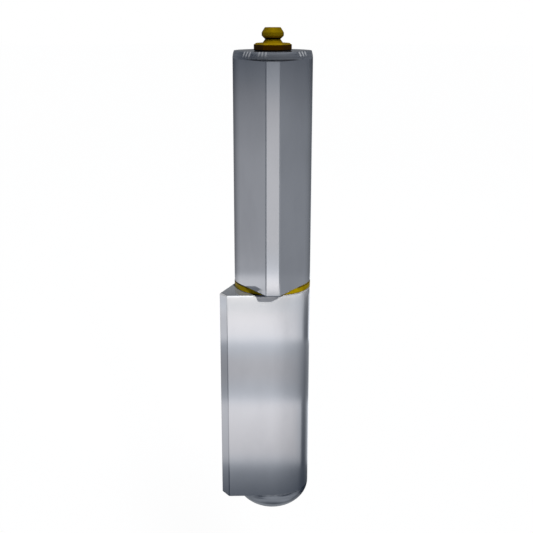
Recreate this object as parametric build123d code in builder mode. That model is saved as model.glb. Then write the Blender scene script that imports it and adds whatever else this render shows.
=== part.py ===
from build123d import *

import os
from math import acos, atan2, cos, hypot, radians, sin, sqrt, tan

# Weld-on hinge with a grease nipple, in millimetres.
# The hinge line is Z. The joint face of the lower leaf lies at Z = 0 and its weld face looks along -Y.

# Leaf profile: a round barrel whose two flats run together to a narrow weld face
barrel_diameter = 24.0
weld_face_reach = 18.6
weld_face_width = 3.6
weld_corner_radius = 0.5
leaf_length = 68.6
dome_height = 8.7
nipple_seat_height = 2.3
joint_edge_break = 0.35
rest_swing = 55.0

# Pin and washer
pin_diameter = 14.0
pin_press_length = 34.0
pin_running_length = 54.0
pin_end_chamfer = 1.0
pin_interference = 0.02
running_clearance = 0.05
press_bore_end_gap = 1.0
grease_gap = 2.0
washer_thickness = 1.8
washer_bore_clearance = 0.1
washer_edge_break = 0.15
drill_point_angle = 118.0

# Grease nipple, with its thread drawn plain at the pitch diameter
thread_pitch_diameter = 7.35
thread_clearance = 0.03
thread_length = 6.5
tapping_run_out = 1.2
thread_end_chamfer = 0.6
grease_passage_diameter = 3.0
hex_across_flats = 9.8
hex_height = 2.2
hex_bevel_width = 0.65
hex_bevel_height = 0.5
hex_foot_bevel = 0.25
cone_foot_diameter = 6.1
neck_diameter = 4.6
neck_height = 1.05
neck_fillet = 0.15
head_diameter = 6.6
head_belt_start = 1.0
head_belt_end = 1.95
head_height = 3.4
head_top_diameter = 4.7
belt_fillet = 0.45

# Check valve in the nipple
mouth_diameter = 2.0
mouth_land = 0.5
seat_angle = 60.0
ball_diameter = 2.5
seat_gap = 0.03
valve_bore_diameter = 2.9
valve_floor_height = 0.6
valve_outlet_diameter = 1.7
spring_outer_diameter = 2.4
spring_wire_diameter = 0.3
spring_turns = 7
spring_end_gap = 0.02

# Levels and radii that follow
barrel_radius = barrel_diameter / 2
pin_radius = pin_diameter / 2
upper_leaf_foot = washer_thickness
upper_leaf_shoulder = upper_leaf_foot + leaf_length
nipple_seat = upper_leaf_shoulder + nipple_seat_height
hex_top = nipple_seat + hex_height
nipple_top = hex_top + neck_height + head_height


def leaf_profile(plane):
    """The teardrop section on a plane, its weld face looking along the plane's own -Y"""
    corner_x = weld_face_width / 2
    corner_y = weld_corner_radius - weld_face_reach
    flat_angle = atan2(corner_x, -corner_y) + acos(
        (barrel_radius - weld_corner_radius) / hypot(corner_x, corner_y)
    )
    flat_normal = Vector(sin(flat_angle), -cos(flat_angle))
    right_corner_end = Vector(corner_x, corner_y) + weld_corner_radius * flat_normal
    right_barrel_end = barrel_radius * flat_normal
    left_corner_end = Vector(-right_corner_end.X, right_corner_end.Y)
    left_barrel_end = Vector(-right_barrel_end.X, right_barrel_end.Y)
    with BuildSketch(plane) as profile:
        with BuildLine():
            weld_face = Line((-corner_x, -weld_face_reach), (corner_x, -weld_face_reach))
            right_corner = TangentArc(weld_face @ 1, right_corner_end, tangent=weld_face % 1)
            Line(right_corner @ 1, right_barrel_end)
            ThreePointArc(right_barrel_end, (0, barrel_radius), left_barrel_end)
            left_flat = Line(left_barrel_end, left_corner_end)
            TangentArc(left_flat @ 1, weld_face @ 0, tangent=left_flat % 1)
        make_face()
    return profile.sketch


def drilled_hole(radius, mouth, depth, direction):
    """Cuts a blind hole on the hinge line from a level, straight for its depth and then with the drill's point"""
    point = radius / tan(radians(drill_point_angle / 2))
    floor = mouth + direction * depth
    with BuildSketch(Plane.XZ) as hole:
        with BuildLine():
            Polyline((0, mouth), (radius, mouth), (radius, floor), (0, floor + direction * point), close=True)
        make_face()
    revolve(hole.sketch, axis=Axis.Z, mode=Mode.SUBTRACT)


def turned_end(shoulder, direction):
    """Turns a leaf's end: a dome as wide as the barrel, with a square shoulder where the weld side stands out"""
    tool_reach = 2 * weld_face_reach
    tool_end = shoulder + direction * 2 * dome_height
    with BuildSketch(Plane.XZ) as waste:
        with BuildLine():
            dome = EllipticalCenterArc(
                (0, shoulder), barrel_radius, dome_height, start_angle=0, arc_size=direction * 90
            )
            Polyline(dome @ 0, (tool_reach, shoulder), (tool_reach, tool_end), (0, tool_end), dome @ 1)
        make_face()
    revolve(waste.sketch, axis=Axis.Z, mode=Mode.SUBTRACT)


def break_joint_edge(joint_face):
    """Takes the sharp outer edge off the face that meets the washer"""
    chamfer(joint_face.outer_wire().edges(), length=joint_edge_break)


# Lower leaf: domed end down, blind press bore from above
with BuildPart() as lower_leaf:
    extrude(leaf_profile(Plane.XY), amount=-(leaf_length + dome_height))
    turned_end(-leaf_length, -1)
    drilled_hole(pin_radius - pin_interference / 2, 0, pin_press_length + press_bore_end_gap, -1)
    break_joint_edge(lower_leaf.faces().sort_by(Axis.Z)[-1])

# Upper leaf: the same end turned by the same tool, then cut flat as a seat for the nipple
with BuildPart() as upper_leaf:
    extrude(
        leaf_profile(Plane.XY.rotated((0, 0, rest_swing)).offset(upper_leaf_foot)),
        amount=leaf_length + nipple_seat_height,
    )
    turned_end(upper_leaf_shoulder, 1)
    drilled_hole(pin_radius + running_clearance, upper_leaf_foot, pin_running_length + grease_gap, 1)
    drilled_hole(
        thread_pitch_diameter / 2 + thread_clearance, nipple_seat, thread_length + tapping_run_out, -1
    )
    with BuildSketch(Plane.XY.offset(nipple_seat)):
        Circle(grease_passage_diameter / 2)
    extrude(amount=-(nipple_seat - upper_leaf_foot - pin_running_length), mode=Mode.SUBTRACT)
    break_joint_edge(upper_leaf.faces().sort_by(Axis.Z)[0])

# Hinge pin: pressed into the lower leaf, ends chamfered for driving in
with BuildPart() as hinge_pin:
    with BuildSketch(Plane.XY.offset(-pin_press_length)):
        Circle(pin_radius)
    extrude(amount=pin_press_length + upper_leaf_foot + pin_running_length)
    chamfer(hinge_pin.edges().filter_by(GeomType.CIRCLE), length=pin_end_chamfer)

# Brass thrust washer, as wide as the barrel
with BuildPart() as thrust_washer:
    with BuildSketch():
        Circle(barrel_radius)
        Circle(pin_radius + washer_bore_clearance, mode=Mode.SUBTRACT)
    extrude(amount=washer_thickness)
    chamfer(thrust_washer.edges().filter_by(GeomType.CIRCLE), length=washer_edge_break)

# Grease nipple: hexagon bevelled along its edges, then the shank, neck, head and valve chamber on one axis
valve_bore_radius = valve_bore_diameter / 2
mouth_radius = mouth_diameter / 2
seat_slope = tan(radians(seat_angle / 2))
mouth_foot = nipple_top - mouth_land
seat_foot = mouth_foot - (valve_bore_radius - mouth_radius) / seat_slope
shank_end = nipple_seat - thread_length
valve_floor = shank_end + valve_floor_height
neck_level = hex_top + neck_height
with BuildPart() as grease_nipple:
    with BuildSketch(Plane.XY.rotated((0, 0, rest_swing)).offset(nipple_seat)):
        RegularPolygon(radius=hex_across_flats / 2, side_count=6, major_radius=False)
    extrude(amount=hex_height)
    chamfer(grease_nipple.edges().group_by(Axis.Z)[0], length=hex_foot_bevel)
    hex_top_face = grease_nipple.faces().sort_by(Axis.Z)[-1]
    chamfer(hex_top_face.edges(), length=hex_bevel_width, length2=hex_bevel_height, reference=hex_top_face)
    with BuildSketch(Plane.XZ) as turned:
        with BuildLine():
            thread_radius = thread_pitch_diameter / 2
            Polyline(
                (0, shank_end),
                (thread_radius - thread_end_chamfer, shank_end),
                (thread_radius, shank_end + thread_end_chamfer),
                (thread_radius, nipple_seat),
                (cone_foot_diameter / 2, hex_top),
                (neck_diameter / 2, neck_level),
                (head_diameter / 2, neck_level + head_belt_start),
                (head_diameter / 2, neck_level + head_belt_end),
                (head_top_diameter / 2, nipple_top),
                (0, nipple_top),
                close=True,
            )
        make_face()
        neck_corner, belt_foot, belt_top = turned.vertices().group_by(Axis.Y)[4:7]
        fillet(belt_foot + belt_top, radius=belt_fillet)
        fillet(neck_corner, radius=neck_fillet)
    revolve(axis=Axis.Z)
    with BuildSketch(Plane.XZ):
        with BuildLine():
            Polyline(
                (0, nipple_top),
                (mouth_radius, nipple_top),
                (mouth_radius, mouth_foot),
                (valve_bore_radius, seat_foot),
                (valve_bore_radius, valve_floor),
                (valve_outlet_diameter / 2, valve_floor),
                (valve_outlet_diameter / 2, shank_end),
                (0, shank_end),
                close=True,
            )
        make_face()
    revolve(axis=Axis.Z, mode=Mode.SUBTRACT)

# Ball on its seat, a hair below it
ball_radius = ball_diameter / 2
ball_contact_radius = ball_radius * cos(radians(seat_angle / 2))
ball_centre = (
    mouth_foot
    - (ball_contact_radius - mouth_radius) / seat_slope
    - ball_radius * sin(radians(seat_angle / 2))
    - seat_gap
)
with BuildPart() as nipple_ball:
    with Locations((0, 0, ball_centre)):
        Sphere(ball_radius)

# Spring between the ball and the valve floor
spring_coil_radius = (spring_outer_diameter - spring_wire_diameter) / 2
spring_foot = valve_floor + spring_end_gap + spring_wire_diameter / 2
spring_head = ball_centre - sqrt(
    (ball_radius + spring_wire_diameter / 2) ** 2 - spring_coil_radius**2
) - spring_end_gap
with BuildPart() as nipple_spring:
    with BuildLine():
        coil = Helix(
            pitch=(spring_head - spring_foot) / spring_turns,
            height=spring_head - spring_foot,
            radius=spring_coil_radius,
            center=(0, 0, spring_foot),
        )
    with BuildSketch(Plane(origin=coil @ 0, z_dir=coil % 0)):
        Circle(spring_wire_diameter / 2)
    sweep(is_frenet=True)

os.makedirs("parts", exist_ok=True)
lower_leaf.part.label = "lower_leaf"
export_step(lower_leaf.part, "parts/lower_leaf.step")
upper_leaf.part.label = "upper_leaf"
export_step(upper_leaf.part, "parts/upper_leaf.step")
hinge_pin.part.label = "hinge_pin"
export_step(hinge_pin.part, "parts/hinge_pin.step")
thrust_washer.part.label = "thrust_washer"
export_step(thrust_washer.part, "parts/thrust_washer.step")
grease_nipple.part.label = "grease_nipple"
export_step(grease_nipple.part, "parts/grease_nipple.step")
nipple_ball.part.label = "nipple_ball"
export_step(nipple_ball.part, "parts/nipple_ball.step")
nipple_spring.part.label = "nipple_spring"
export_step(nipple_spring.part, "parts/nipple_spring.step")
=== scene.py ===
import math

import bmesh
import bpy
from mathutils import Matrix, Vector


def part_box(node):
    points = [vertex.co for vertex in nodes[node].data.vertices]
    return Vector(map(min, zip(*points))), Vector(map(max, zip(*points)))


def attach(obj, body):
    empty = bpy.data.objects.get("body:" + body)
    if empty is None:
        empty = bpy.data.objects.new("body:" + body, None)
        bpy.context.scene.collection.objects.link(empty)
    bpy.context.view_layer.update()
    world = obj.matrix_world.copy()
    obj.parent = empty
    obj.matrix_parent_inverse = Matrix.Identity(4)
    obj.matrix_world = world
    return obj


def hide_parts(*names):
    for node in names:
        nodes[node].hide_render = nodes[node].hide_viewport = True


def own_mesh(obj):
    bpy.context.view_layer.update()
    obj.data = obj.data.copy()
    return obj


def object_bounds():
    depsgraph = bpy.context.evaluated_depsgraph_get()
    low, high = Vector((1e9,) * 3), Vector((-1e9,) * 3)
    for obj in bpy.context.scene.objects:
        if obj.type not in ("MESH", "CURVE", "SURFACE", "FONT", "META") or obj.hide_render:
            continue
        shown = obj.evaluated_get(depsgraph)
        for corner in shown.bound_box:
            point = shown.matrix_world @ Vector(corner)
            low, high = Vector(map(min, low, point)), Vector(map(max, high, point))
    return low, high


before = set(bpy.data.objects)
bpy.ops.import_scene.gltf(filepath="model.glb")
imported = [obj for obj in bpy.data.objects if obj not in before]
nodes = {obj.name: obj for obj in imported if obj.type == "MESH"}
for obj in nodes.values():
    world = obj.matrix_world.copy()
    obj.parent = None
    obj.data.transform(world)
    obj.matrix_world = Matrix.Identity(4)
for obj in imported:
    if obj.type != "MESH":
        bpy.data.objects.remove(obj)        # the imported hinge, in metres, hinge line on Z
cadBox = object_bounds()
print("frame: the packed hinge is in")

toMillimetres = 1000.0

camera = {
    "azimuth": 55.0,          # the upper leaf's weld face looks straight at it
    "pitch": 15.936,          # degrees down
    "distance": 0.285683,
    "aim": (-0.001066, -0.001522, 0.005928),
    "focalPixels": 900.0,
    "framePixels": 533,
    "sensorWidth": 36.0,
    "clip": (0.01, 20.0),
}

# Heights that the materials follow, in millimetres, as in the CAD
domeHeight = 8.7
seatHeight = 2.3
hexHeight = 2.2
neckHeight = 1.05
restSwing = 55.0


# A number that comes out of a shader node, written like any other number
class ShaderValue:
    def __init__(self, shader, socket):
        self.shader = shader
        self.socket = socket

    def math(self, operation, first, second=0.0):
        return self.shader.add("ShaderNodeMath", {"operation": operation}, {0: first, 1: second})

    def __add__(self, other):
        return self.math("ADD", self, other)

    def __radd__(self, other):
        return self.math("ADD", other, self)

    def __sub__(self, other):
        return self.math("SUBTRACT", self, other)

    def __rsub__(self, other):
        return self.math("SUBTRACT", other, self)

    def __mul__(self, other):
        return self.math("MULTIPLY", self, other)

    def __rmul__(self, other):
        return self.math("MULTIPLY", other, self)

    def __truediv__(self, other):
        return self.math("DIVIDE", self, other)

    def __abs__(self):
        return self.math("ABSOLUTE", self)

    def root(self):
        return self.math("SQRT", self)

    def cosine(self):
        return self.math("COSINE", self)

    def arcsine(self):
        return self.math("ARCSINE", self)

    def arctangent(self, other):
        return self.math("ARCTAN2", self, other)

    def atLeast(self, low):
        return self.math("MAXIMUM", self, low)

    # 0 below start, 1 above end, smooth between; start may be the larger one
    def rise(self, start, end):
        share = self.shader.add(
            "ShaderNodeMapRange",
            {"interpolation_type": "SMOOTHSTEP", "clamp": True},
            {"Value": self, "From Min": min(start, end), "From Max": max(start, end)},
        )
        return share if start < end else 1 - share


# One node tree that is being filled
class Shader:
    def __init__(self, tree):
        self.tree = tree
        tree.nodes.clear()

    # A node of any kind: its settings first, then the values or links of its sockets
    def add(self, kind, settings=None, sockets=None, output=0):
        node = self.tree.nodes.new(kind)
        for name, value in (settings or {}).items():
            if name == "stops":
                self.setStops(node.color_ramp, value)
            else:
                setattr(node, name, value)
        for name, value in (sockets or {}).items():
            if isinstance(value, ShaderValue):
                self.tree.links.new(value.socket, node.inputs[name])
            else:
                node.inputs[name].default_value = value
        return ShaderValue(self, node.outputs[output]) if len(node.outputs) else node

    # Every place before the first level, because a ramp sorts its stops by place
    def setStops(self, ramp, stops):
        while len(ramp.elements) < len(stops):
            ramp.elements.new(0.5)
        for element, (place, level) in zip(ramp.elements, stops):
            element.position = place
        for element, (place, level) in zip(ramp.elements, stops):
            element.color = grey(level)

    def split(self, vector):
        return [self.add("ShaderNodeSeparateXYZ", None, {0: vector}, name) for name in "XYZ"]

    def join(self, x, y, z):
        return self.add("ShaderNodeCombineXYZ", None, {"X": x, "Y": y, "Z": z})

    def mixColours(self, share, first, second, blend="MIX"):
        settings = {"data_type": "RGBA", "blend_type": blend}
        return self.add("ShaderNodeMix", settings, {0: share, 6: first, 7: second}, 2)

    def noise(self, x, y, z, detail=3.0, roughness=0.6):
        sockets = {"Vector": self.join(x, y, z), "Scale": 1.0, "Detail": detail, "Roughness": roughness}
        return self.add("ShaderNodeTexNoise", None, sockets)

    # Object coordinates in millimetres, as x, y, z
    def placeInMillimetres(self):
        coordinates = self.add("ShaderNodeTexCoord", None, None, "Object")
        return [part * toMillimetres for part in self.split(coordinates)]

    # 0 on a wall along the hinge line, 1 on a face across it
    def faceSlope(self):
        return abs(self.split(self.add("ShaderNodeTexCoord", None, None, "Normal"))[2])

    def lightPath(self, kind):
        return self.add("ShaderNodeLightPath", None, None, kind)

    def glow(self, colour, strength):
        return self.add("ShaderNodeBackground", None, {"Color": colour, "Strength": strength})

    def mixShaders(self, share, first, second):
        return self.add("ShaderNodeMixShader", None, {0: share, 1: first, 2: second})


def grey(level):
    return (level, level, level, 1.0)


def opaque(colour):
    return (*colour, 1.0)


def shaded(colour, share):
    return opaque([part * share for part in colour])


def newMaterial(name):
    material = bpy.data.materials.new(name)
    material.use_nodes = True
    return material, Shader(material.node_tree)


def finishSurface(shader, look, colour, roughness, height):
    relief = {"Strength": look["bumpStrength"], "Distance": look["bumpDepth"], "Height": height}
    surface = shader.add(
        "ShaderNodeBsdfPrincipled",
        None,
        {
            "Base Color": colour,
            "Metallic": look["metallic"],
            "Roughness": roughness,
            "Specular IOR Level": look.get("specular", 0.5),
            "Coat Weight": look.get("coat", 0.0),
            "Coat Roughness": look.get("coatRoughness", 0.1),
            "Normal": shader.add("ShaderNodeBump", None, relief),
        },
    )
    shader.add("ShaderNodeOutputMaterial", None, {"Surface": surface})


# Bright drawn steel of the leaves: fine lines along the bar, rings where the ends were turned
leafSteel = {
    "metallic": 0.65,
    "colour": (0.61, 0.615, 0.625),
    "roughness": 0.055,
    "turnedRoughness": 0.03,
    "turnedSlopes": (0.35, 0.6),        # a face this far from upright counts as turned
    "linesPerMillimetre": 3.2,
    "lineStretch": 0.015,       # the lines' own scale along the bar
    "lineRoughness": 0.02,
    "ringsPerMillimetre": 2.6,
    "ringRelief": 1.6,          # how much deeper the rings are than the lines
    "stainColour": (0.53, 0.535, 0.545),
    "stainShare": 0.55,
    "stainRange": (0.38, 0.72),
    "stainRoughness": 0.02,
    "stainsPerMillimetre": 0.09,
    "stainStretch": 0.5,
    "flatEndShadeColour": (0.24, 0.255, 0.275),          # painted shade: the flat ends drawn darker than the steel
    "flatEndShadeSlopes": (0.97, 0.995),
    "cornerShadeColour": (0.12, 0.12, 0.13),
    "cornerShadeHeight": 0.3,        # painted shade: the dark line where a turned end starts, in millimetres
    "cornerShadeReach": (0.75, 0.9),         # the painted shade shows on the weld side only
    "toolMarkColour": (0.48, 0.49, 0.50),       # of the deeper turning marks
    "toolMarksPerMillimetre": 1.1,
    "toolMarkRange": (0.45, 0.6),
    "shoulderBlur": 0.05,
    "bumpStrength": 0.12,
    "bumpDepth": 0.00003,
}


def leafSteelMaterial(name, shoulder, outward, weldSide):
    # shoulder is the level in millimetres where the turned end starts, outward is +1 up or -1 down,
    # weldSide the direction of the weld face in degrees, from -Y towards +X
    material, shader = newMaterial(name)
    look = leafSteel
    x, y, z = shader.placeInMillimetres()
    radius = (x * x + y * y).root()
    beyond = (z - shoulder) * outward
    turnedEnd = beyond.rise(-look["shoulderBlur"], look["shoulderBlur"])
    turned = shader.faceSlope().rise(*look["turnedSlopes"]).atLeast(turnedEnd)

    scale = look["linesPerMillimetre"]
    drawnLines = shader.noise(x * scale, y * scale, z * look["lineStretch"], 4.0, 0.62)
    scale = look["ringsPerMillimetre"]
    turnedRings = shader.noise(radius * scale, z * scale, 0.0)
    lines = drawnLines * (1 - turned) + turnedRings * turned
    relief = drawnLines * (1 - turned) + turnedRings * turned * look["ringRelief"]

    scale = look["stainsPerMillimetre"]
    stains = shader.noise(x * scale, y * scale, z * scale * look["stainStretch"], 5.0, 0.55)
    stained = stains.rise(*look["stainRange"]) * look["stainShare"]
    colour = shader.mixColours(stained, opaque(look["colour"]), opaque(look["stainColour"]))
    # painted shade: the flat end faces are drawn darker
    flatEndShade = shader.faceSlope().rise(*look["flatEndShadeSlopes"])
    colour = shader.mixColours(flatEndShade, colour, opaque(look["flatEndShadeColour"]))
    marks = shader.noise(0.0, 0.0, z * look["toolMarksPerMillimetre"], 1.0, 0.5)
    marked = marks.rise(*look["toolMarkRange"]) * turnedEnd * (1 - flatEndShade)
    colour = shader.mixColours(marked, colour, opaque(look["toolMarkColour"]))
    weldAngle = math.radians(weldSide)
    towardsWeld = (x * math.sin(weldAngle) - y * math.cos(weldAngle)) / radius.atLeast(0.001)
    # painted shade in the corner where the turned end starts, on the weld side
    shadeNearShoulder = turnedEnd * beyond.rise(look["cornerShadeHeight"], look["cornerShadeHeight"] / 2)
    corner = shadeNearShoulder * towardsWeld.rise(*look["cornerShadeReach"])
    colour = shader.mixColours(corner, colour, opaque(look["cornerShadeColour"]))

    roughness = turned * (look["turnedRoughness"] - look["roughness"]) + look["roughness"]
    roughness = roughness + (lines - 0.5) * look["lineRoughness"] + (stains - 0.5) * look["stainRoughness"]
    finishSurface(shader, look, colour, roughness, relief)
    return material


# Ground steel of the pin: fine lines round it, a film of grease
pinSteel = {
    "metallic": 1.0,
    "colour": (0.66, 0.66, 0.67),
    "lineShade": 0.93,
    "roughness": 0.16,
    "lineRoughness": 0.06,
    "linesPerMillimetre": 5.0,
    "lineStretch": 0.15,        # the lines' own scale round the pin
    "bumpStrength": 0.1,
    "bumpDepth": 0.00002,
    "coat": 0.35,
    "coatRoughness": 0.12,
}


def pinSteelMaterial():
    material, shader = newMaterial("groundPinSteel")
    look = pinSteel
    x, y, z = shader.placeInMillimetres()
    across = look["lineStretch"]
    grinding = shader.noise(x * across, y * across, z * look["linesPerMillimetre"])
    colour = shader.mixColours(grinding, opaque(look["colour"]), shaded(look["colour"], look["lineShade"]))
    roughness = look["roughness"] + (grinding - 0.5) * look["lineRoughness"]
    finishSurface(shader, look, colour, roughness, grinding)
    return material


# Turned brass, a little dull: rings round the hinge line, patches of tarnish
turnedBrass = {
    "specular": 0.0,
    "lineRoughness": 0.08,
    "ringsPerMillimetre": 5.0,
    "tarnishPerMillimetre": 0.5,
    "tarnishRange": (0.4, 0.75),
    "tarnishShare": 0.7,
    "tarnishRoughness": 0.06,
    "bumpStrength": 0.18,
    "bumpDepth": 0.00003,
}
washerBrass = turnedBrass | {
    "metallic": 0.6,
    "colour": (0.64, 0.43, 0.002),
    "tarnishColour": (0.30, 0.18, 0.001),
    "roughness": 0.34,
    "edgeColour": (0.05, 0.03, 0.001),          # painted shade along both edges
    "edgeHeight": 0.35,
    "flatSlopes": (0.95, 0.85),         # the flat faces that bear on the leaves get no painted shade
}
nippleBrass = turnedBrass | {
    "metallic": 0.5,
    "colour": (0.345, 0.215, 0.002),
    "tarnishColour": (0.23, 0.135, 0.001),
    "roughness": 0.42,
    "drawnSkinColour": (0.075, 0.03, 0.001),    # painted shade on the hexagon's upright sides
    "uprightSlopes": (0.35, 0.2),
    "hexagonBlur": 0.02,
    "grimeColour": (0.012, 0.006, 0.0005),      # painted shade under the hexagon and in the neck
    "grimeHeight": 0.36,
    "neckGrimeRise": 0.25,
}


def brassSurface(shader, look, x, y, z):
    # its colour, roughness and relief
    radius = (x * x + y * y).root()
    scale = look["ringsPerMillimetre"]
    rings = shader.noise(radius * scale, z * scale, 0.0)
    scale = look["tarnishPerMillimetre"]
    tarnish = shader.noise(x * scale, y * scale, z * scale, 5.0).rise(*look["tarnishRange"])
    tarnished = tarnish * look["tarnishShare"]
    colour = shader.mixColours(tarnished, opaque(look["colour"]), opaque(look["tarnishColour"]))
    roughness = look["roughness"] + (rings - 0.5) * look["lineRoughness"] + tarnish * look["tarnishRoughness"]
    return colour, roughness, rings


def washerMaterial(foot, top):
    material, shader = newMaterial("washerBrass")
    look = washerBrass
    x, y, z = shader.placeInMillimetres()
    colour, roughness, rings = brassSurface(shader, look, x, y, z)
    half = (top - foot) / 2
    # painted shade: the rim darker towards its top and bottom edges
    edge = abs(z - (foot + half)).rise(half - look["edgeHeight"], half)
    edge = edge * shader.faceSlope().rise(*look["flatSlopes"])
    colour = shader.mixColours(edge, colour, opaque(look["edgeColour"]))
    finishSurface(shader, look, colour, roughness, rings)
    return material


def nippleMaterial(seat, hexTop, neck):
    # the levels, in millimetres, of the hexagon's foot and top and of the neck
    material, shader = newMaterial("nippleBrass")
    look = nippleBrass
    x, y, z = shader.placeInMillimetres()
    colour, roughness, rings = brassSurface(shader, look, x, y, z)
    blur = look["hexagonBlur"]
    onHexagon = z.rise(seat - blur, seat + blur) * z.rise(hexTop + blur, hexTop - blur)
    # painted shade: the hexagon's upright sides are drawn dark
    upright = shader.faceSlope().rise(*look["uprightSlopes"])
    colour = shader.mixColours(upright * onHexagon, colour, opaque(look["drawnSkinColour"]))
    # painted shade under the hexagon and in the neck
    for level in (seat, neck + look["neckGrimeRise"]):
        inRecessShade = abs(z - level).rise(look["grimeHeight"], look["grimeHeight"] / 2)
        colour = shader.mixColours(inRecessShade, colour, opaque(look["grimeColour"]))
    finishSurface(shader, look, colour, roughness, rings)
    return material


# Polished ball and drawn spring wire
ballSteel = {
    "metallic": 1.0,
    "colour": (0.70, 0.70, 0.72),
    "wireColour": (0.42, 0.42, 0.44),
    "grainShade": 0.9,
    "roughness": 0.08,
    "wireRoughness": 0.3,
    "grainRoughness": 0.05,
    "grainPerMillimetre": 6.0,
    "bumpStrength": 0.06,
    "bumpDepth": 0.00001,
}


def ballSteelMaterial(name, colour, roughness):
    material, shader = newMaterial(name)
    look = ballSteel
    scale = look["grainPerMillimetre"]
    grain = shader.noise(*[part * scale for part in shader.placeInMillimetres()])
    grained = shader.mixColours(grain, opaque(colour), shaded(colour, look["grainShade"]))
    finishSurface(shader, look, grained, roughness + (grain - 0.5) * look["grainRoughness"], grain)
    return material


def levelsInMillimetres(node):
    # its lowest and highest level
    return [corner.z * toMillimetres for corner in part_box(node)]


def dress(node, material):
    slots = nodes[node].data.materials
    slots.clear()
    slots.append(material)


lowerShoulder = levelsInMillimetres("lower_leaf")[0] + domeHeight
seat = levelsInMillimetres("upper_leaf")[1]
hexTop = seat + hexHeight
dress("lower_leaf", leafSteelMaterial("drawnSteelLower", lowerShoulder, -1, 0.0))
dress("upper_leaf", leafSteelMaterial("drawnSteelUpper", seat - seatHeight, 1, restSwing))
dress("hinge_pin", pinSteelMaterial())
dress("thrust_washer", washerMaterial(*levelsInMillimetres("thrust_washer")))
dress("grease_nipple", nippleMaterial(seat, hexTop, hexTop + neckHeight))
dress("nipple_ball", ballSteelMaterial("polishedBall", ballSteel["colour"], ballSteel["roughness"]))
dress("nipple_spring", ballSteelMaterial("springWire", ballSteel["wireColour"], ballSteel["wireRoughness"]))
print("materials: steel leaves, pin, brass washer and nipple, ball and spring")

valveSpring = {
    "wireRadius": 0.00015,
    "travel": 0.00082,       # how far its head gives way when the ball is pressed in, in metres
    "hardEdge": 50.0,        # degrees, from which an edge is shown sharp
    "weldDistance": 0.0000001,
}


def makeObject(name, shape):
    mesh = bpy.data.meshes.new(name)
    shape.to_mesh(mesh)
    shape.free()
    made = bpy.data.objects.new(name, mesh)
    bpy.context.scene.collection.objects.link(made)
    return made


# The CAD spring's own shape once more, as a piece of its own
def makeTheGivingSpring():
    stiff = nodes["nipple_spring"].data
    shape = bmesh.new()
    shape.from_mesh(stiff)
    bmesh.ops.remove_doubles(shape, verts=shape.verts, dist=valveSpring["weldDistance"])
    for face in shape.faces:
        face.smooth = True
    for edge in shape.edges:
        edge.smooth = edge.calc_face_angle(0.0) < math.radians(valveSpring["hardEdge"])
    spring = makeObject("valveSpring", shape)
    spring.data.materials.append(stiff.materials[0])
    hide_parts("nipple_spring")
    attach(spring, "upper")
    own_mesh(spring)


makeTheGivingSpring()


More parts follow.
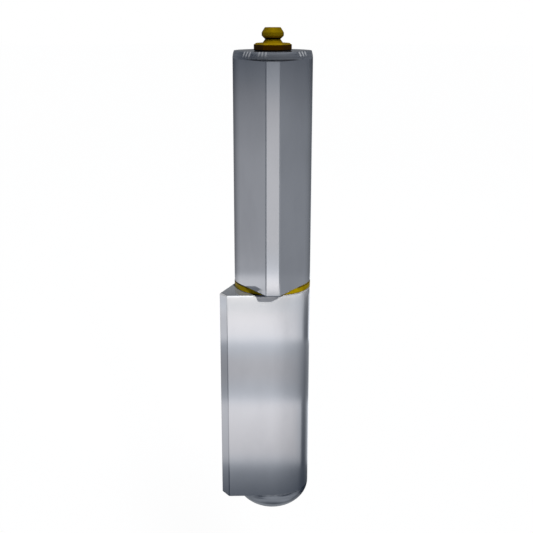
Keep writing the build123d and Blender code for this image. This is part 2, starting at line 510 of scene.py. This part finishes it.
studio = {
    "white": 1.0,
    "skyColour": (0.1, 0.14, 0.22),    # what dull surfaces get from all round
    "glossPeak": 1.5,           # the brightest part of what polished surfaces show
    "coolTint": (0.95, 1.0, 1.08),
    "warmTint": (1.03, 0.985, 0.985),
    "floorDrop": 0.06,          # the floor lies this far under the hinge, which its weld face holds
    "floorRadius": 6.0,
    "floorSides": 96,
    "floorAlbedo": 0.85,
    "floorGlow": 0.97,
    # share of the cool tint at each height, in degrees above the horizon, and at each bearing, in degrees
    # from the camera to its right
    "coolHeights": [
        (-31.5, 1.0), (-28.4, 1.0), (-27.6, 0.2), (-24.7, 0.2), (-24.3, 0.9), (-23.5, 0.8), (-22.8, 0.1),
        (-21.9, 0.1), (-21.3, 0.9), (-20.7, 0.9), (-20.4, 0.2), (-18.9, 0.0), (-18.5, 0.9), (-17.8, 1.0),
        (-17.6, 0.0), (-16.9, 0.0), (-16.5, 0.7), (-15.5, 0.5), (-14.5, 0.0), (-6.0, 0.0), (-4.0, 0.8),
        (-2.0, 1.0),
    ],
    "coolBearings": [
        (-180, 0.5), (-40, 0.5), (-20, 0.0), (25, 0.0), (80, 0.3), (105, 0.7), (180, 1.0),
    ],
    # what the steel shows at each height, as a share of glossPeak: the ground, the studio's walls, and what
    # is overhead. These levels and those of rounds were worked out from the photograph's brightness at the
    # places that mirror them, and then moved. The cool shares above were tuned against its colours.
    "heightBlur": 0.02,
    "heights": [
        [
            (-90, 0.135), (-83, 0.14), (-70, 0.29), (-37, 0.3), (-33.5, 0.1), (-31.5, 0.09),
        ],
        [
            (-31.5, 0.09), (-30.2, 0.11), (-28.8, 0.24), (-28.4, 0.34), (-28.1, 0.62), (-27.8, 0.73),
            (-26.8, 0.79), (-25.6, 0.86), (-24.7, 0.95), (-24.45, 0.84), (-24.15, 0.61), (-23.6, 0.505),
            (-22.5, 0.45), (-21.4, 0.465), (-20.9, 0.52), (-20.45, 0.93), (-19.6, 0.84), (-18.9, 0.78),
            (-17.75, 0.7), (-17.55, 1.05), (-16.65, 1.01), (-16.35, 0.57), (-15.6, 0.47), (-14.9, 0.43),
            (-13.0, 0.4), (-8.6, 0.385), (-6.7, 0.345), (-5.5, 0.295), (-4.2, 0.21), (-3.3, 0.165),
            (-2.0, 0.11),
        ],
        [
            (-2.0, 0.11), (27, 0.11), (32, 0.09), (38, 0.05), (44, 0.0), (54, 0.0), (62, 0.55), (90, 0.55),
        ],
    ],
    # from each height up, blurred by so many degrees: its share at each bearing
    "rounds": [
        (-90.0, 0.1, [
            (-180, 0.8), (-150, 0.85), (-125, 0.75), (-45, 1.0), (66, 1.0), (90, 0.9), (123, 0.6), (180, 0.8),
        ]),
        (-60.0, 4.0, [
            (-180, 0.7), (-150, 0.8), (-131, 0.6), (-112, 0.7), (-90, 0.75), (-72, 0.55), (-47, 0.42),
            (-20, 0.95), (0, 1.0), (45, 0.9), (100, 0.75), (111, 0.5), (126, 0.3), (144, 0.5), (162, 0.8),
            (180, 0.8),
        ]),
        (-43.5, 3.0, [
            (-180, 0.5), (-140, 0.2), (-100, 0.3), (-70, 0.05), (-40, 0.0), (-14, 0.9), (0, 1.0), (14, 0.9),
            (40, 0.28), (57, 0.3), (82, 0.6), (105, 0.4), (116, 0.05), (147, 0.0), (165, 0.3), (180, 0.5),
        ]),
        (-31.5, 0.6, [
            (-180, 1.0), (-160, 0.4), (-130, 0.6), (-109, 0.85), (-95, 0.5), (-75, 0.05), (-20, 0.05),
            (-10, 1.0), (5, 1.0), (19, 0.91), (38, 0.8), (58, 0.68), (80, 0.54), (92, 0.47), (106, 0.22),
            (123, 0.16), (150, 0.3), (180, 1.0),
        ]),
        (-28.4, 0.15, [
            (-180, 1.0), (-160, 0.4), (-130, 0.6), (-109, 0.75), (-95, 0.6), (-75, 0.55), (-20, 0.55),
            (-10, 1.0), (5, 1.0), (19, 0.945), (28, 0.9), (38, 0.845), (58, 0.79), (80, 0.7), (92, 0.62),
            (102, 0.52), (107, 0.24), (115, 0.08), (128, 0.09), (150, 0.4), (180, 1.0),
        ]),
        (-24.35, 0.2, [
            (-180, 1.0), (-160, 0.4), (-130, 0.6), (-109, 0.71), (-95, 0.5), (-75, 0.22), (-20, 0.22),
            (-10, 1.0), (1, 1.0), (10, 0.92), (19, 0.85), (28, 0.79), (38, 0.69), (58, 0.6), (80, 0.49),
            (92, 0.39), (106, 0.24), (123, 0.1), (147, 0.3), (180, 1.0),
        ]),
        (-20.6, 0.15, [
            (-180, 1.0), (-160, 0.4), (-130, 0.7), (-109, 0.75), (-95, 0.5), (-75, 0.4), (-20, 0.4),
            (-10, 1.0), (4, 1.0), (16, 0.95), (28, 0.91), (41, 0.78), (68, 0.76), (84, 0.67), (101, 0.53),
            (111, 0.2), (119, 0.0), (140, 0.0), (155, 0.8), (180, 1.0),
        ]),
        (-18.9, 0.4, [
            (-180, 1.0), (-160, 0.4), (-130, 0.75), (-109, 0.9), (-95, 0.6), (-75, 0.4), (-20, 0.4),
            (-10, 0.57), (4, 0.57), (12, 0.56), (28, 0.58), (49, 0.61), (62, 0.63), (77, 0.61), (93, 0.54),
            (101, 0.48), (111, 0.28), (119, 0.0), (140, 0.0), (155, 0.8), (180, 1.0),
        ]),
        (-18.35, 0.3, [
            (-180, 1.0), (-160, 0.4), (-130, 0.7), (-109, 0.78), (-95, 0.5), (-75, 0.4), (-20, 0.4),
            (-10, 0.24), (28, 0.25), (49, 0.3), (62, 0.42), (77, 0.43), (93, 0.42), (101, 0.38), (111, 0.28),
            (119, 0.0), (140, 0.0), (155, 0.8), (180, 1.0),
        ]),
        (-17.65, 0.1, [
            (-180, 1.0), (-168, 0.8), (-160, 0.25), (-138, 0.4), (-111, 0.59), (-95, 0.5), (-75, 0.05),
            (-20, 0.05), (-12, 0.9), (0, 1.0), (14, 0.9), (26, 0.6), (95, 0.6), (106, 0.1), (156, 0.05),
            (168, 0.8), (180, 1.0),
        ]),
        (-17.25, 0.1, [
            (-180, 1.0), (-168, 0.8), (-160, 0.25), (-138, 0.45), (-124, 0.6), (-111, 0.69), (-100, 0.45),
            (-92, 0.05), (-12, 0.05), (-6, 0.95), (0, 1.0), (6, 0.95), (12, 0.05), (110, 0.1), (156, 0.06),
            (168, 0.8), (180, 1.0),
        ]),
        (-15.9, 0.2, [
            (-180, 1.0), (-168, 0.8), (-160, 0.25), (-138, 0.5), (-124, 0.69), (-111, 0.79), (-100, 0.5),
            (-92, 0.05), (-12, 0.05), (-6, 0.95), (0, 1.0), (6, 0.95), (12, 0.05), (110, 0.1), (156, 0.06),
            (168, 0.8), (180, 1.0),
        ]),
        (-7.5, 1.5, [
            (-180, 1.0), (-168, 0.8), (-160, 0.25), (-138, 0.45), (-124, 0.62), (-111, 0.71), (-100, 0.45),
            (-92, 0.05), (-12, 0.05), (-6, 0.95), (0, 1.0), (6, 0.95), (12, 0.05), (95, 0.1), (110, 0.22),
            (156, 0.1), (168, 0.8), (180, 1.0),
        ]),
        (-1.5, 1.0, [
            (-180, 1.0), (-126, 0.9), (-108, 0.5), (-85, 0.2), (-60, 0.0), (90, 0.0), (125, 0.5), (180, 1.0),
        ]),
        (25.0, 5.0, [
            (-180, 1.0), (180, 1.0),
        ]),
    ],
}

# Three groups of three upright strip windows, which the turned rim of the upper leaf shows as white ticks.
# Each fades in from its foot to its full height, and ends at its top.
windows = [
    {"bearing": -84.0, "pitch": 10.6, "foot": 2.0, "full": 18.0, "top": 28.0, "level": 0.56},
    {"bearing": -32.0, "pitch": 10.6, "foot": 5.0, "full": 30.0, "top": 37.0, "level": 0.42},
    {"bearing": 100.0, "pitch": 12.0, "foot": 4.0, "full": 15.0, "top": 24.0, "level": 0.7},
]
windowEdges = {
    "group": (1.5, 1.45),       # in pitches from the group's middle
    "pane": (-0.2, 0.5),        # of a cosine that peaks in the middle of each window
    "topBlur": 1.0,
}

keyLamp = {
    "bearing": 19.5,
    "height": 28.8,
    "distance": 0.9,
    "aimLeft": 0.0,
    "aimLevel": 0.012,
    "size": 0.05,
    "spread": 7.9,
    "level": 1.15,
    "colour": (0.97, 1.0, 1.05),
}
# From where the key lamp hangs, on the lower leaf alone, for a deeper shadow of the upper leaf's tip
tipLamp = {
    "aimLeft": 0.01,
    "aimLevel": 0.02,
    "size": 0.012,
    "spread": 4.2,
    "level": 4.8,
    "colour": (1.045, 1.0, 0.925),
}
areaLamps = {
    "topLamp": {"bearing": 0.0, "height": 90.0, "distance": 0.8, "size": 0.5, "level": 0.05},
    "rearLamp": {"bearing": 172.0, "height": 34.0, "distance": 0.9, "size": 0.3, "level": 0.15},
    # on the nipple alone, which stands above the key lamp's cone
    "nippleLamp": {
        "bearing": 5.0, "height": 62.0, "distance": 0.6, "size": 0.1, "level": 0.78, "only": "grease_nipple",
    },
}
floorSun = {"bearing": 22.0, "height": 55.0, "softness": 14.0, "level": 0.85}


# A grey that follows an angle from the first to the last of its stops, each given in degrees
def angleRamp(shader, angle, stops):
    low, high = stops[0][0], stops[-1][0]
    places = [((degrees - low) / (high - low), level) for degrees, level in stops]
    return shader.add("ShaderNodeValToRGB", {"stops": places}, {0: (angle - low) / (high - low)})


def windowLight(shader, height, bearing):
    light = 0.0
    for group in windows:
        away = bearing - group["bearing"]
        inside = abs(away / group["pitch"]).rise(*windowEdges["group"])
        panes = (away * (2 * math.pi / group["pitch"])).cosine().rise(*windowEdges["pane"])
        top, blur = group["top"], windowEdges["topBlur"]
        upright = height.rise(group["foot"], group["full"]) * height.rise(top + blur, top - blur)
        light = inside * panes * upright * group["level"] + light
    return light


# What polished surfaces show in each direction
def bandedLight(shader, height, bearing):
    upDown = grey(0.0)
    for stops in studio["heights"]:
        above = height.rise(stops[0][0] - studio["heightBlur"], stops[0][0] + studio["heightBlur"])
        upDown = shader.mixColours(above, upDown, angleRamp(shader, height, stops))
    allRound = grey(0.0)
    for fromHeight, blur, stops in studio["rounds"]:
        above = height.rise(fromHeight - blur, fromHeight + blur)
        allRound = shader.mixColours(above, allRound, angleRamp(shader, bearing, stops))
    coolUpDown = angleRamp(shader, height, studio["coolHeights"])
    cool = coolUpDown.atLeast(angleRamp(shader, bearing, studio["coolBearings"]))
    tint = shader.mixColours(cool, opaque(studio["warmTint"]), opaque(studio["coolTint"]))
    bands = shader.mixColours(1.0, upDown, allRound, "MULTIPLY")
    bands = shader.mixColours(1.0, bands, tint, "MULTIPLY")
    panes = shader.glow(grey(1.0), windowLight(shader, height, bearing))
    return shader.add("ShaderNodeAddShader", None, {0: shader.glow(bands, studio["glossPeak"]), 1: panes})


def lightTheWorld():
    world = bpy.data.worlds.new("studioWorld")
    bpy.context.scene.world = world
    world.use_nodes = True
    shader = Shader(world.node_tree)
    across = math.radians(camera["azimuth"])
    x, y, z = shader.split(shader.add("ShaderNodeTexCoord", None, None, "Generated"))
    front = x * math.sin(across) - y * math.cos(across)
    right = x * math.cos(across) + y * math.sin(across)
    height = z.arcsine() * math.degrees(1)
    bearing = right.arctangent(front) * math.degrees(1)
    mirrored = shader.lightPath("Is Glossy Ray").atLeast(shader.lightPath("Is Transmission Ray"))
    sky = shader.glow(opaque(studio["skyColour"]), 1.0)
    lit = shader.mixShaders(mirrored, sky, bandedLight(shader, height, bearing))
    white = shader.glow(grey(1.0), studio["white"])
    seen = shader.mixShaders(shader.lightPath("Is Camera Ray"), lit, white)
    shader.add("ShaderNodeOutputWorld", None, {"Surface": seen})


def layTheFloor():
    level = cadBox[0].z - studio["floorDrop"]
    shape = bmesh.new()
    bmesh.ops.create_circle(shape, cap_ends=True, segments=studio["floorSides"], radius=studio["floorRadius"])
    bmesh.ops.translate(shape, verts=shape.verts, vec=(0.0, 0.0, level))
    floor = makeObject("studioFloor", shape)
    material, shader = newMaterial("paleFloor")
    plain = shader.add("ShaderNodeBsdfDiffuse", None, {"Color": grey(studio["floorAlbedo"])})
    glow = shader.add("ShaderNodeEmission", None, {"Color": grey(1.0), "Strength": studio["white"]})
    mixed = shader.mixShaders(shader.lightPath("Is Camera Ray") * studio["floorGlow"], plain, glow)
    shader.add("ShaderNodeOutputMaterial", None, {"Surface": mixed})
    floor.data.materials.append(material)
    floor.visible_glossy = False             # the steel shows the studio's bands instead
    floor.visible_diffuse = False
    return floor


def directionFrom(bearing, height):
    # bearing is measured from the camera, to its right
    across = math.radians(camera["azimuth"] + bearing)
    up = math.radians(height)
    return Vector((math.sin(across) * math.cos(up), -math.cos(across) * math.cos(up), math.sin(up)))


def hangLamp(name, kind, place, aim):
    data = bpy.data.lights.new(name, kind)
    lamp = bpy.data.objects.new(name, data)
    bpy.context.scene.collection.objects.link(lamp)
    lamp.location = place
    lamp.rotation_mode = "QUATERNION"
    lamp.rotation_quaternion = (Vector(aim) - Vector(place)).to_track_quat("-Z", "Y")
    lamp.visible_glossy = False      # polished steel shows the world's bands and windows
    return lamp


def lightOnly(lamp, receiver):
    group = bpy.data.collections.new(lamp.name + "Only")
    group.objects.link(receiver)
    lamp.light_linking.receiver_collection = group


# A spot from the key lamp's place
def hangSpot(name, spot):
    middle = Vector((0.0, 0.0, keyLamp["aimLevel"]))
    place = middle + directionFrom(keyLamp["bearing"], keyLamp["height"]) * keyLamp["distance"]
    aim = directionFrom(-90.0, 0.0) * spot["aimLeft"] + Vector((0.0, 0.0, spot["aimLevel"]))
    lamp = hangLamp(name, "SPOT", place, aim)
    lamp.data.shadow_soft_size = spot["size"] / 2
    lamp.data.spot_size = math.radians(spot["spread"])
    lamp.data.spot_blend = 1.0
    lamp.data.color = spot["colour"]
    # a white card that faces a spot of power P at distance d shows P / (4 pi^2 d^2)
    lamp.data.energy = spot["level"] * 4 * math.pi**2 * keyLamp["distance"] ** 2
    return lamp


def hangTheLamps(floor):
    hangSpot("keyLamp", keyLamp)
    lightOnly(hangSpot("tipLamp", tipLamp), nodes["lower_leaf"])
    for name, area in areaLamps.items():
        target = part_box(area["only"])[1] if "only" in area else Vector((0.0, 0.0, 0.0))
        place = target + directionFrom(area["bearing"], area["height"]) * area["distance"]
        lamp = hangLamp(name, "AREA", place, target)
        lamp.data.shape = "DISK"
        lamp.data.size = area["size"]
        lamp.data.energy = area["level"] * math.pi**2 * area["distance"] ** 2
        if "only" in area:
            lightOnly(lamp, nodes[area["only"]])
    towardsSun = directionFrom(floorSun["bearing"], floorSun["height"])
    sun = hangLamp("floorSun", "SUN", towardsSun, (0.0, 0.0, 0.0))
    sun.data.angle = math.radians(floorSun["softness"])
    sun.data.energy = floorSun["level"] * math.pi / towardsSun.z
    lightOnly(sun, floor)


def placeTheCamera():
    data = bpy.data.cameras.new("photoCamera")
    made = bpy.data.objects.new("photoCamera", data)
    bpy.context.scene.collection.objects.link(made)
    back = directionFrom(0.0, camera["pitch"])
    made.location = Vector(camera["aim"]) + back * camera["distance"]
    made.rotation_mode = "QUATERNION"
    made.rotation_quaternion = (-back).to_track_quat("-Z", "Y")
    data.sensor_width = camera["sensorWidth"]
    data.lens = camera["sensorWidth"] * camera["focalPixels"] / camera["framePixels"]
    data.clip_start, data.clip_end = camera["clip"]
    bpy.context.scene.camera = made


placeTheCamera()
lightTheWorld()
hangTheLamps(layTheFloor())
bpy.context.scene.view_settings.view_transform = "Standard"
print("studio: camera, world, floor and lamps")
